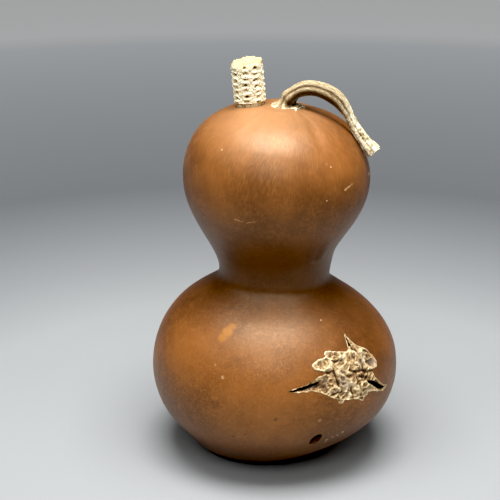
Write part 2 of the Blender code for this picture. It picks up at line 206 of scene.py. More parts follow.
def paintPoints(mesh, name, values):
    # keeps a number, or three, at each vertex for the material to read
    values = np.asarray(values, float)
    kind, key = ("FLOAT_VECTOR", "vector") if values.ndim == 2 else ("FLOAT", "value")
    mesh.attributes.new(name, kind, "POINT").data.foreach_set(key, values.ravel())


def placed(name, mesh, collection):
    piece = bpy.data.objects.new(name, mesh)
    collection.objects.link(piece)
    return piece


def baked(piece):
    # the piece with its modifiers made into a plain mesh, its doubled points welded
    bpy.context.view_layer.update()
    mesh = bpy.data.meshes.new_from_object(piece.evaluated_get(bpy.context.evaluated_depsgraph_get()))
    shape = bmesh.new()
    shape.from_mesh(mesh)
    bmesh.ops.remove_doubles(shape, verts=shape.verts, dist=0.00001)
    bmesh.ops.recalc_face_normals(shape, faces=shape.faces)
    shape.to_mesh(mesh)
    shape.free()
    name, collection = piece.name, piece.users_collection[0]
    bpy.data.objects.remove(piece, do_unlink=True)
    return placed(name, mesh, collection)


def turned(name, outline, sides, collection):
    # a profile of radius and height, from the top down, turned round the Z axis
    mesh = bpy.data.meshes.new(name)
    points = [(radius, 0, height) for radius, height in outline]
    mesh.from_pydata(points, [(i, i + 1) for i in range(len(points) - 1)], [])
    piece = placed(name, mesh, collection)
    screw = piece.modifiers.new("turn", "SCREW")
    screw.steps = screw.render_steps = sides
    screw.use_merge_vertices = True
    screw.merge_threshold = 0.00001
    return baked(piece)


def skinBody(name, sides, rings, liftAt, collection):
    # a closed body that follows the skin, moved off it by liftAt(points, along)
    foot = shell["footRadius"]
    stations = np.linspace(profileLength, foot, rings).tolist() + [foot * 0.5, 0]
    spindle = [(0 if along in (0, profileLength) else 20 * mm, along) for along in stations]
    body = turned(name, spindle, sides, collection)
    points = meshPoints(body.data)
    bearing, along = np.arctan2(points[:, 1], points[:, 0]), points[:, 2]
    plain = skinPoint(along, bearing)
    setPoints(body.data, skinPoint(along, bearing, liftAt(plain, along)))
    return body


def wallAt(along):
    # the wall's thickness, which grows over the top tenth of the height
    thicker, crown = shell["crownWall"] - shell["bellyWall"], shell["crownHeight"]
    return shell["bellyWall"] + thicker * fade(crown * 0.9, crown, heightAt(along))


def handFeel(points, along):
    # what the hand feels on the rind: low lumps all over, and fine wrinkles that run out from the stem
    out = points - np.array(stemRoot)
    distance, bearing = np.hypot(out[:, 0], out[:, 1]), np.arctan2(out[:, 1], out[:, 0])
    relief = sum(depth * mm * lumps(points, size * mm, seed)
                 for seed, (depth, size) in enumerate(shell["lumps"], 1))
    rays = around(bearing, shell["wrinklesRound"], distance / shell["wrinkleLength"])
    onCrown = fade(6 * mm, 13 * mm, distance) * (1 - fade(24 * mm, 58 * mm, distance))
    onCrown = onCrown * (points[:, 2] > shell["crownHeight"] * 0.6)
    relief += shell["wrinkleDepth"] * lumps(rays, 1, 3) * onCrown
    return relief * fade(3 * mm, 20 * mm, points[:, 2])


def segmentDistance(x, y, points, closed):
    # how far each point is from a line of short straight sides
    start = np.array(points, float)
    end = np.roll(start, -1, 0) if closed else start[1:]
    start = start if closed else start[:-1]
    nearest = np.full(np.shape(x), 1e9)
    for (x0, y0), (x1, y1) in zip(start, end):
        span = (x1 - x0)**2 + (y1 - y0)**2
        share = np.clip(((x - x0) * (x1 - x0) + (y - y0) * (y1 - y0)) / max(span, 1e-9), 0, 1)
        nearest = np.minimum(nearest, np.hypot(x - x0 - share * (x1 - x0), y - y0 - share * (y1 - y0)))
    return nearest


def grown(outline, by):
    # the outline with every corner moved outward
    points = np.array(outline, float)
    before, after = points - np.roll(points, 1, 0), np.roll(points, -1, 0) - points
    sideways = [np.stack([side[:, 1], -side[:, 0]], -1) for side in (before, after)]
    first, second = (side / np.hypot(*side.T)[:, None] for side in sideways)
    middle = first + second
    middle /= np.hypot(*middle.T)[:, None]
    reach = by / np.maximum((middle * first).sum(1), 0.5)
    return [tuple(point) for point in points + middle * reach[:, None]]


def ragged(outline, step, reach, seed):
    # the outline in short steps, each point strayed a little as a torn edge does
    points = np.array(outline, float)
    torn = []
    for start, end in zip(points, np.roll(points, -1, 0)):
        parts = max(int(round(np.hypot(*(end - start)) / step)), 1)
        torn += [start + (end - start) * i / parts for i in range(parts)]
    grain = 1.7                                   # mm between one tooth and the next
    stray = [noise.noise_vector(Vector((x / grain, y / grain, seed))) for x, y in torn]
    return [(x + reach * move.x, y + reach * move.y) for (x, y), move in zip(torn, stray)]


def tearOutline(middle, halfWidth):
    # a lens round a middle line, pointed at both ends
    line = np.array(middle, float)
    run = np.concatenate(([0], np.cumsum(np.hypot(*np.diff(line, axis=0).T))))
    stations = np.linspace(0, run[-1], 17)
    line = np.stack([np.interp(stations, run, line[:, i]) for i in (0, 1)], -1)
    heading = np.gradient(line, axis=0)
    heading /= np.hypot(*heading.T)[:, None]
    side = np.stack([heading[:, 1], -heading[:, 0]], -1)
    width = halfWidth * np.sin(np.linspace(0, pi, len(line)))**0.6
    low, high = line + side * width[:, None], line - side * width[:, None]
    return [tuple(point) for point in np.concatenate((low, high[-2:0:-1]))]


def skinSlab(name, origin, outline, low, high, cell, collection, rough=None):
    # a flat outline cut into cells, thickened from low to high, and laid over the skin round origin
    shape = bmesh.new()
    shape.faces.new([shape.verts.new((x * mm, y * mm, 0)) for x, y in outline])
    corners = np.array(outline) * mm
    for axis, normal in enumerate((Vector((1, 0, 0)), Vector((0, 1, 0)))):
        for at in np.arange(corners[:, axis].min() + cell / 2, corners[:, axis].max(), cell):
            everything = shape.verts[:] + shape.edges[:] + shape.faces[:]
            bmesh.ops.bisect_plane(shape, geom=everything, dist=1e-7, plane_co=normal * at, plane_no=normal)
    bmesh.ops.remove_doubles(shape, verts=shape.verts, dist=0.00006)
    bmesh.ops.triangulate(shape, faces=shape.faces)
    top = bmesh.ops.extrude_face_region(shape, geom=shape.faces[:])
    raised = [item for item in top["geom"] if isinstance(item, bmesh.types.BMVert)]
    for vert in shape.verts:
        vert.co.z = low
    for vert in raised:
        vert.co.z = high
    bmesh.ops.recalc_face_normals(shape, faces=shape.faces)
    mesh = bpy.data.meshes.new(name)
    shape.to_mesh(mesh)
    shape.free()
    flat = meshPoints(mesh)
    if rough:
        onTop = flat[:, 2] > (low + high) / 2
        height, tone = rough(flat[:, 0] / mm, flat[:, 1] / mm)
        flat[:, 2] += np.where(onTop, height * mm, 0)
        paintPoints(mesh, "tone", np.where(onTop, tone, 0.1))
    middle = float(radiusAt(origin[0]))
    setPoints(mesh, skinPoint(origin[0] + flat[:, 1], origin[1] + flat[:, 0] / middle, flat[:, 2]))
    return placed(name, mesh, collection)


def rod(name, top, bottom, radius, sides, collection):
    # a round cutter with flat ends between two points
    shape = bmesh.new()
    bmesh.ops.create_cone(shape, cap_ends=True, segments=sides, radius1=radius, radius2=radius,
                          depth=(top - bottom).length)
    turn = (top - bottom).to_track_quat("Z", "Y").to_matrix().to_4x4()
    bmesh.ops.transform(shape, matrix=Matrix.Translation((top + bottom) / 2) @ turn, verts=shape.verts)
    mesh = bpy.data.meshes.new(name)
    shape.to_mesh(mesh)
    shape.free()
    return placed(name, mesh, collection)


def cutBy(piece, cutter, wall):
    # cuts the piece, and gives the cut's walls their own material
    cutter.data.materials.append(wall)
    step = piece.modifiers.new(cutter.name, "BOOLEAN")
    step.operation = "DIFFERENCE"
    step.object = cutter
    step.solver = "EXACT"
    step.material_mode = "TRANSFER"


def smoothed(piece, sharpness):
    piece.data.shade_smooth()
    piece.data.set_sharp_from_angle(angle=radians(sharpness))


def linear(hexColour):
    # an sRGB hex value as the linear colour that Blender works in
    channels = [int(hexColour[i:i + 2], 16) / 255 for i in (1, 3, 5)]
    return (*(c / 12.92 if c <= 0.04045 else ((c + 0.055) / 1.055)**2.4 for c in channels), 1)


def addNode(tree, kind, inputs=None, out=0, stops=(), **settings):
    # adds a node and gives back one of its outputs, or the node itself if out is None
    node = tree.nodes.new("ShaderNode" + kind)
    for name, value in settings.items():
        setattr(node, name, value)
    for name, value in (inputs or {}).items():
        if isinstance(value, bpy.types.NodeSocket):
            tree.links.new(value, node.inputs[name])
        else:
            node.inputs[name].default_value = value
    if stops:
        ramp = node.color_ramp.elements
        ramp[0].position, ramp[0].color = stops[0][0], linear(stops[0][1])
        ramp[1].position, ramp[1].color = stops[-1][0], linear(stops[-1][1])
        for position, colour in stops[1:-1]:
            ramp.new(position).color = linear(colour)
    return node if out is None else node.outputs[out]


def smoothStep(add, value, low, high, top):
    # 0 at low, the top at high, and a smooth step between
    return add("MapRange", {0: value, 1: low, 2: high, 3: 0, 4: top}, interpolation_type="SMOOTHSTEP")


def strongest(add, shares):
    # the largest of many shares
    total = shares[0]
    for share in shares[1:]:
        total = add("Math", {0: total, 1: share}, operation="MAXIMUM")
    return total


def strayedTone(add, texture, reach, stops):
    # the tone painted on the mesh, strayed a little by a texture, as a colour
    tone = add("Attribute", attribute_name="tone", out="Fac")
    stray = add("MapRange", {0: texture, 1: 0.25, 2: 0.75, 3: -reach, 4: reach})
    tone = add("Math", {0: tone, 1: stray}, operation="ADD")
    return add("ValToRGB", {0: tone}, stops=stops)


def startMaterial(name, settings):
    # a Principled material with its plain settings, what adds nodes to its tree, and its shader
    material = bpy.data.materials.new(name)
    material.use_nodes = True
    tree = material.node_tree
    shader = tree.nodes["Principled BSDF"]
    for socket, value in settings.items():
        shader.inputs[socket].default_value = value
    return material, partial(addNode, tree), shader


def feed(shader, sockets):
    # links what other nodes give to the shader's own sockets
    for name, socket in sockets.items():
        shader.id_data.links.new(socket, shader.inputs[name])


# Dried gourd rind, cleaned and rubbed with wax: a hard woody skin, satin from handling, so the light
# lies on it as a soft wide gleam that its fine fibres break into strands
rindLooks = {
    "deep": "#673c18",
    "middle": "#824f23",
    "fibre": "#ab6d38",
    # the colour of the painted shade in the waist, under the head and round the foot
    "stain": "#3b1d08",
    # strands are drawn coarser than real fibres, which are too fine to show here
    "strandWidth": 0.5 * mm,
    "strandLength": 1.9 * mm,
    "matWidth": 0.9 * mm,        # the short crossed fibres low on the gourd
    "patchWidth": 7 * mm,
    "cloudWidth": 26 * mm,
    # the marks' ragged edges: the noise's width, and how far it moves them
    "wobbleWidth": 0.9 * mm,
    "wobbleReach": 1.6 * mm,
    "roughness": 0.42,
    "gleam": (1, 0.77, 0.53, 1),           # highlights in the wax are as warm as the rind
}
# marks on the rind: the middle in mm, how far they reach, how strong they are
rindMarks = {
    # painted sheen: the crown is painted paler where the overhead light falls on it
    "paintedCrownSheen": [((-8, -14, 247), 44, 0.3)],
    # partly the rind's own golden patches, partly painted light where the light falls on the belly front
    # and the head
    "goldAndLightCloud": [
        ((-14, -86, 66), 36, 0.28), ((-62, -52, 92), 30, 0.3), ((-40, -45, 205), 26, 0.2),
        ((36, -42, 222), 24, 0.3)],
    # partly the rind's own darker patches, partly painted shade on the belly's lower and right parts
    "umberAndShadeCloud": [
        ((66, -52, 90), 30, 0.4), ((55, -30, 112), 26, 0.4), ((40, -68, 30), 24, 0.3),
        ((-70, -48, 36), 26, 0.35)],
    "amberPatch": [
        ((-32.6, -57.2, 108.4), 4.2, 0.55), ((-36, -59.4, 105.2), 3.6, 0.45),
        ((-30.2, -55.4, 111.2), 3.4, 0.45)],
    "paleSpeck": [
        ((-35.8, -42.3, 230.6), 0.6, 1), ((35.2, -47.8, 220.7), 0.8, 0.8),
        ((32.5, -48.3, 222.9), 0.5, 0.8), ((32.6, -55.5, 199.9), 0.75, 1), ((-77.9, -41.3, 57.4), 0.85, 1),
        ((30.5, -48.7, 113.2), 0.8, 1), ((-35.9, -75.9, 83), 1.4, 0.45), ((-40.9, -69.8, 89.5), 0.9, 0.4),
        ((-53.9, -31.3, 216.4), 0.7, 1), ((-58.3, -28.1, 198.7), 0.8, 1), ((58.6, -13.2, 218.7), 1.6, 1),
        ((62.3, -14.5, 205.8), 1.8, 1), ((29.3, -81.6, 53.9), 1.5, 0.3), ((45.8, -67.9, 38.6), 1, 0.9),
        ((42.5, -68.1, 35.7), 0.8, 0.8), ((34.8, -71.6, 34.5), 1.2, 0.6), ((38.9, -70.6, 36.2), 0.8, 0.6),
        ((31.9, -64.6, 25.4), 1, 0.6)],
    "darkSpeck": [
        ((-28.9, -78.7, 41.2), 1, 1), ((-64, -59, 50.8), 1.3, 0.8), ((-61.5, -61.5, 50), 0.9, 0.7),
        ((-0.2, -87.5, 57.6), 1.6, 0.5), ((-40.9, -77.9, 63.9), 3.4, 0.35),
        ((-20.8, -82.5, 44.6), 1.1, 0.5)],
}
# each kind's colour, and where its edge starts and ends as a share of its reach
markLooks = {
    # the colour of the painted sheen on the crown
    "paintedCrownSheen": ("#d9a878", 1.4, 0.1),
    # gold: the rind's own golden patches and painted light
    "goldAndLightCloud": ("#b5733a", 1.4, 0.1),
    # umber: the rind's own darker patches and painted shade
    "umberAndShadeCloud": ("#4a2a12", 1.4, 0.1),
    "amberPatch": ("#bd7c2b", 1.3, 0.5),
    "paleSpeck": ("#d9b184", 1.2, 0.6),
    "darkSpeck": ("#2c1608", 1.25, 0.5),
    "scratch": ("#cf9c68", 1.3, 0.5),
}
# scratches: two ends in mm, half-width, strength
rindScratches = [
    ((44.8, -45.9, 204.4), (49.7, -40, 206.7), 0.7, 1),
    ((49.7, -40, 206.7), (58.8, -22.5, 210.3), 0.5, 0.7),
    ((-31.9, -55.3, 189.2), (-27.9, -56.3, 187.3), 0.45, 0.8),
    ((-27.9, -56.3, 187.3), (-22.2, -58.8, 186.4), 0.6, 0.8),
    ((-34.5, -52.6, 187.3), (-31.9, -54.2, 186.6), 0.4, 0.5),
    ((-20.1, -59.2, 186.1), (-14.3, -61.1, 187.4), 0.5, 0.45),
    ((34.8, -71.6, 34.5), (33.2, -69, 29), 0.8, 0.7), ((42.5, -68.1, 35.7), (40.8, -70, 39), 0.6, 0.6)]


def waxedGourdRind():
    looks = rindLooks
    material, add, shader = startMaterial("waxedGourdRind", {
        "Roughness": looks["roughness"], "IOR": 1.5,
        "Specular IOR Level": 0.7, "Specular Tint": looks["gleam"]})
    place = add("TexCoord", out="Object")
    grain = add("Attribute", attribute_name="grain", out="Vector")
    head = add("Attribute", attribute_name="head", out="Fac")
    # the strands: grain is a unit circle round the fibres' middle, so its scale sets how many there are
    strandsRound = shell["headRadius"] / (2 * looks["strandWidth"])
    strandsAlong = shell["headRadius"] / (2 * looks["strandLength"])
    stretched = add("VectorMath", {0: grain, 1: (strandsRound, strandsRound, strandsAlong)},
                    operation="MULTIPLY")
    strands = add("TexNoise", {"Vector": stretched, "Scale": 1, "Detail": 3, "Roughness": 0.6}, out="Fac")
    mat = add("TexNoise", {"Vector": place, "Scale": 0.5 / looks["matWidth"], "Detail": 3,
                           "Roughness": 0.6, "Distortion": 1.2}, out="Fac")
    clouds = add("TexNoise", {"Vector": place, "Scale": 1 / looks["cloudWidth"], "Detail": 2,
                              "Roughness": 0.5}, out="Fac")
    patches = add("TexNoise", {"Vector": place, "Scale": 1 / looks["patchWidth"], "Detail": 3,
                               "Roughness": 0.6, "Distortion": 0.8}, out="Fac")
    fibres = add("Mix", {0: head, 2: mat, 3: strands}, data_type="FLOAT")
    fibreShare = smoothStep(add, fibres, 0.36, 0.68, 1)
    cloudShare = smoothStep(add, clouds, 0.36, 0.66, 1)
    colour = add("Mix", {0: cloudShare, 6: linear(looks["deep"]), 7: linear(looks["middle"])}, out=2,
                 data_type="RGBA")
    # pale fibres over that, stronger low on the gourd and in patches
    strength = add("MapRange", {0: head, 1: 0.1, 2: 0.9, 3: 0.5, 4: 0.36})
    patches = add("MapRange", {0: patches, 1: 0.32, 2: 0.68, 3: 0.3, 4: 1.55})
    strength = add("Math", {0: strength, 1: patches}, operation="MULTIPLY")
    thinned = add("Math", {0: fibreShare, 1: strength}, operation="MULTIPLY")
    colour = add("Mix", {0: thinned, 6: colour, 7: linear(looks["fibre"])}, out=2, data_type="RGBA")
    # painted shade: darker in the waist, under the head and round the foot, where the overhead light
    # doesn't reach
    stain = add("Attribute", attribute_name="stain", out="Fac")
    colour = add("Mix", {0: stain, 6: colour, 7: linear(looks["stain"])}, out=2, data_type="RGBA")
    # marks: a ragged edge comes from moving the place by a little noise
    wobble = add("TexNoise", {"Vector": place, "Scale": 0.5 / looks["wobbleWidth"], "Detail": 1},
                 out="Color")
    wobble = add("VectorMath", {0: wobble, 1: (0.5, 0.5, 0.5)}, operation="SUBTRACT")
    wobble = add("VectorMath", {0: wobble, "Scale": looks["wobbleReach"]}, operation="SCALE")
    roughPlace = add("VectorMath", {0: place, 1: wobble}, operation="ADD")

    def shareOf(kind, away, reach, strength):
        _, outer, inner = markLooks[kind]
        return smoothStep(add, away, reach * outer * mm, reach * inner * mm, strength)

    shares = {kind: [] for kind in markLooks}
    for kind, marks in rindMarks.items():
        for middle, reach, strength in marks:
            away = add("VectorMath", {0: roughPlace, 1: Vector(middle) * mm}, out="Value",
                       operation="DISTANCE")
            shares[kind].append(shareOf(kind, away, reach, strength))
    for start, end, halfWidth, strength in rindScratches:
        start, end = Vector(start) * mm, Vector(end) * mm
        heading = (end - start).normalized()
        fromStart = add("VectorMath", {0: roughPlace, 1: start}, operation="SUBTRACT")
        run = add("VectorMath", {0: fromStart, 1: heading}, out="Value", operation="DOT_PRODUCT")
        run = add("Clamp", {0: run, 1: 0, 2: (end - start).length})
        run = add("VectorMath", {0: heading, "Scale": run}, operation="SCALE")
        away = add("VectorMath", {0: fromStart, 1: run}, out="Value", operation="DISTANCE")
        shares["scratch"].append(shareOf("scratch", away, halfWidth, strength))
    for kind, kindShares in shares.items():
        share, markColour = strongest(add, kindShares), linear(markLooks[kind][0])
        colour = add("Mix", {0: share, 6: colour, 7: markColour}, out=2, data_type="RGBA")
    # the fibres' tops are rubbed a little smoother than the skin between them
    rough = looks["roughness"]
    gloss = add("MapRange", {0: fibres, 1: 0.3, 2: 0.7, 3: rough + 0.05, 4: rough - 0.04})
    bump = add("Bump", {"Strength": 0.8, "Distance": 0.15 * mm, "Height": fibres})
    feed(shader, {"Base Color": colour, "Roughness": gloss, "Normal": bump})
    return material


def driedGourdPith():
    # The inside of the dried shell, where the pith was scraped off: dull, fibrous, tan going to brown
    material, add, shader = startMaterial("driedGourdPith", {"Roughness": 0.95, "IOR": 1.4})
    place = add("TexCoord", out="Object")
    fibreWidth = 2 * mm
    fibres = add("TexNoise", {"Vector": place, "Scale": 0.5 / fibreWidth, "Detail": 4, "Distortion": 1.5},
                 out="Fac")
    colour = add("ValToRGB", {0: fibres}, stops=[(0.3, "#2e1b0c"), (0.55, "#57371c"), (0.75, "#7a5631")])
    bump = add("Bump", {"Strength": 0.8, "Distance": 0.5 * mm, "Height": fibres})
    feed(shader, {"Base Color": colour, "Normal": bump})
    return material


def healedCork():
    # Cork grown over the burst: dry, matt and pitted, cream on its curled rims and brown in its pits,
    # which are darkened partly as the cork's own brown and partly as painted shade
    material, add, shader = startMaterial("healedCork", {"Roughness": 0.9, "IOR": 1.45})
    gritWidth, greyWidth = 0.6 * mm, 5 * mm
    place = add("TexCoord", out="Object")
    grit = add("TexNoise", {"Vector": place, "Scale": 0.5 / gritWidth, "Detail": 3, "Roughness": 0.7},
               out="Fac")
    colour = strayedTone(add, grit, 0.2, [(0.05, "#2d1c0f"), (0.22, "#6b4c2d"), (0.4, "#a5845a"),
                                          (0.6, "#d2b585"), (0.8, "#efdcb0"), (1, "#f8ebc9")])
    # weathered grey in patches
    grey = add("TexNoise", {"Vector": place, "Scale": 0.5 / greyWidth, "Detail": 1}, out="Fac")
    grey = add("MapRange", {0: grey, 1: 0.52, 2: 0.7, 3: 0, 4: 0.55})
    colour = add("Mix", {0: grey, 6: colour, 7: linear("#8d8071")}, out=2, data_type="RGBA")
    bump = add("Bump", {"Strength": 0.8, "Distance": 0.3 * mm, "Height": grit})
    feed(shader, {"Base Color": colour, "Normal": bump})
    return material


def driedStalk():
    # The gourd's own stalk, dried hard: pale and silvery on its ribs, brown in its grooves, matt;
    # its underside is darker, partly its own brown and partly painted shade
    material, add, shader = startMaterial("driedStalk", {"Roughness": 0.75, "IOR": 1.45})
    grain = add("Attribute", attribute_name="grain", out="Vector")
    threads = add("TexNoise", {"Vector": grain, "Scale": 9, "Detail": 4, "Roughness": 0.65}, out="Fac")
    colour = strayedTone(add, threads, 0.27, [(0.05, "#38240f"), (0.28, "#6e5636"), (0.48, "#a18d68"),
                                              (0.68, "#cdbf9b"), (0.92, "#ede5ca")])
    bump = add("Bump", {"Strength": 0.7, "Distance": 0.25 * mm, "Height": threads})
    feed(shader, {"Base Color": colour, "Normal": bump})
    return material


def shelledCob():
    # A corn cob with its kernels rubbed off: chaffy straw-coloured lips over empty brown sockets, matt;
    # the sockets' dark is partly the chaff's own brown and partly painted shade
    material, add, shader = startMaterial("shelledCob", {"Roughness": 0.9, "IOR": 1.4})
    chaffWidth = 0.5 * mm
    place = add("TexCoord", out="Object")
    chaff = add("TexNoise", {"Vector": place, "Scale": 0.5 / chaffWidth, "Detail": 3, "Roughness": 0.7},
                out="Fac")
    colour = strayedTone(add, chaff, 0.16, [(0.02, "#3a2410"), (0.22, "#8d6a3a"), (0.42, "#cbb07a"),
                                            (0.65, "#ecdfb4"), (1, "#f7f0d2")])
    bump = add("Bump", {"Strength": 0.6, "Distance": 0.2 * mm, "Height": chaff})
    feed(shader, {"Base Color": colour, "Normal": bump})
    return material


pith = driedGourdPith()

# The burst, in mm sideways and up over the skin from its middle
burst = {
    "at": (142.3 * mm, radians(-57.4)),
    "outline": [
        (-41.5, -6.9), (-33, -8.4), (-24, -8), (-19, -9.8), (-14, -12.2), (-11, -14.6), (-6.5, -17),
        (-5.5, -20.4), (-1.8, -20.6), (-0.8, -18.6), (6, -20), (10, -21), (14.5, -24), (17, -21.4),
        (20.5, -19.4), (25, -20), (30, -22.4), (36.5, -24.6), (45.5, -22.4), (38.6, -20), (33, -15.4),
        (27.6, -10), (26.4, -4.8), (32.4, -5.4), (33, -2.7), (32.4, 2.7), (30.8, 6), (28.8, 9.6),
        (24.7, 11.8), (20.5, 16.2), (18.6, 20), (17.4, 25), (15, 22.8), (13.4, 18.7), (12, 14.6),
        (9.3, 13.2), (1.7, 15), (-6.9, 17.1), (-9.9, 15.2), (-8.8, 13.4), (-16.3, 12.4), (-21.8, 9.6),
        (-20.5, 6.4), (-14.2, 3.8), (-13.2, 2.4), (-19.2, 1.1), (-24, -1), (-28, -2.6), (-35, -4.4)],
    "sink": 2 * mm,
    "cell": 0.5 * mm,
    "tears": {
        "left": ([(-40, -6.7), (-34, -6.2), (-29, -5.4), (-23.5, -4.1), (-17, -1.9)], 1),
        "top": ([(16.2, 22.6), (15.8, 19), (15.8, 15.5), (16.3, 11.5)], 0.75),
        "right": ([(19.5, -11), (24, -13.2), (28.5, -16.6), (33.5, -20.2), (38.5, -22.2)], 1.7),
    },
    # cushions of cork: middle, half-lengths, turn in degrees, height of the rim, depth of the hollow
    "cushions": [
        ((-3.5, 13), (8, 3.4), -10, 1.1, 0.5), ((-13, 8), (8.6, 4), 14, 1, 0.6),
        ((26.5, 3.5), (6.8, 9.2), 12, 1.2, 0.9), ((12, 8), (8, 5), -10, 0.9, 0.2),
        ((-8.2, -11), (4, 3.6), 10, 1.2, 0.8), ((0, -15.4), (4.6, 3.4), -10, 1.1, 0.6),
        ((9, -16), (4.6, 4), 0, 0.9, 0.5), ((16.5, -15), (5, 4.6), 30, 0.9, 0.5),
        ((10, -8), (5.6, 4), -20, 0.8, 0.3), ((0, -6), (3.2, 6), 8, 0.9, 0.4)],
    # creases: points along each, depth, half-width
    "creases": [
        ([(-5.8, 2.7), (-4.8, -3.2), (-4, -8)], 2, 0.8), ([(-10, 11.6), (-3, 9), (3, 8.4)], 1, 0.6),
        ([(-13.5, 3), (-9, 2.2), (-6, 3.4)], 0.9, 0.7),
        ([(7, 0.4), (12, -1.9), (17, -2.4), (22, -5), (26, -5)], 1.3, 0.9),
        ([(4, -3), (13, -5.6), (20, -8.6)], 0.9, 1.6), ([(-11, -13), (-5, -12), (-2, -12.4)], 0.8, 0.6),
        ([(5, -12), (6, -19)], 0.9, 0.6), ([(13, -11), (13.2, -19)], 1.2, 0.7),
        ([(18.5, 12), (19, 4), (18, -2)], 0.8, 0.7)],
}
# cutters start outside the rind and end inside the shell
cutTop = 8 * mm
cutBottom = -14 * mm
cutCell = 2 * mm


def crests(points, size, seed):
    # thin winding ridges, about 1 on their tops and 0 between them
    return np.clip(1 - 2.6 * np.abs(lumps(points, size, seed)), 0, 1)**1.5


def corkRelief(x, y):
    # the face of the cork: thin curled rims, shallow cushions, and a web of pale crests round brown pits;
    # its tone falls with its depth, partly the cork's own brown and partly painted shade
    edge = segmentDistance(x, y, burst["edge"], True)
    flat = np.stack([x, y, x * 0], -1)
    warped = flat + 0.9 * np.stack([lumps(flat, 2.6, 24), lumps(flat, 2.6, 25), x * 0], -1)
    web, threads, broad = crests(warped, 4.4, 26), crests(warped, 2.1, 27), lumps(flat, 7, 28)
    frayed = 0.75 + 0.5 * lumps(flat, 2.4, 29)
    height = -0.5 + 0.95 * frayed * np.exp(-((edge - 0.7) / 0.55)**2)
    tone = 0.41 + 0.55 * frayed * np.exp(-((edge - 0.35) / 0.55)**2)
    for (x0, y0), (a, b), turn, ridge, hollow in burst["cushions"]:
        c, s = cos(radians(turn)), sin(radians(turn))
        u, v = ((x - x0) * c + (y - y0) * s) / a, ((y - y0) * c - (x - x0) * s) / b
        away = np.hypot(u, v) * (1 + 0.16 * broad)
        ring = np.exp(-((away - 0.86) / 0.17)**2)
        height = height + 0.8 * ridge * ring * frayed + (0.45 - hollow * 0.7) * (1 - fade(0.5, 1, away))
        # the cushions' hollows are darkened: painted shade, partly the cork's own brown
        tone = tone + 0.2 * ring - 0.16 * hollow * (1 - fade(0.3, 0.8, away))
    for points, depth, halfWidth in burst["creases"]:
        dip = np.exp(-(segmentDistance(x, y, points, False) / halfWidth)**2)
        # the creases are darkened as they sink: painted shade, partly the cork's own brown
        height, tone = height - 0.85 * depth * dip, tone - 0.46 * dip
    inside = fade(0.3, 1.6, edge)
    height = height + (0.85 * web + 0.4 * threads - 0.45) * inside + 0.35 * broad
    tone = tone + (0.34 * web + 0.2 * threads - 0.16 + 0.16 * broad) * inside
    # the brown grainy slope beside the left tear, and the smooth cream lip over it
    pad = np.exp(-(((x + 17) / 8)**2 + ((y + 4) / 3.6)**2))
    lip = np.exp(-(((x + 14) / 6)**2 + ((y - 6) / 1.6)**2))
    tone = tone - 0.34 * pad + 0.25 * lip
    height = np.clip(height - 0.5 * pad + 0.3 * lip, -1.3, 2.4)
    return height * fade(0, 0.7, edge) - 0.3 * (1 - fade(0, 0.5, edge)), tone


burst["edge"] = ragged(burst["outline"], 1.0, 0.55, 2.5)
cork = skinSlab("burst_cork", burst["at"], burst["edge"], -burst["sink"], 0, burst["cell"], pieces,
                corkRelief)
# the pocket is a little smaller than the cork, whose frayed edge laps over its rim
pocket = skinSlab("burst_pocket", burst["at"], grown(burst["outline"], -0.55), -burst["sink"] - 0.3 * mm,
                  cutTop, cutCell, cutters)
tears = []
for side, (middle, halfWidth) in burst["tears"].items():
    torn = ragged(tearOutline(middle, halfWidth), 0.7, 0.3, 6.5)
    tears.append(skinSlab("tear_" + side, burst["at"], torn, cutBottom, cutTop, cutCell, cutters))
for tear in tears:
    cutBy(cork, tear, pith)
cork = baked(cork)
print("burst made", len(cork.data.vertices))

# The cob: lengths in metres, its columns of sockets turned to where the photograph shows them
cob = {
    "foot": Vector((-17.3, 4, 249.8)) * mm,
    "lean": radians(-5),
    "radius": 10.9 * mm,
    "height": 29.5 * mm,
    "neckRadius": 9.2 * mm,
    "neckHeight": 2.6 * mm,
    "plugDepth": 26 * mm,
    "tipRadius": 7.6 * mm,
    "columns": 8,
    "columnTurn": radians(-100),
    "rows": 12,
    "rowPitch": 3.9 * mm,
    "topRound": 3.2 * mm,
    "sides": 240,
    # the mouth it stands in: a round hole along its axis, drilled a little wider
    "mouthSlack": 0.4 * mm,
    "mouthAbove": 20 * mm,
    "mouthBelow": 30 * mm,
    "mouthSides": 64,
}


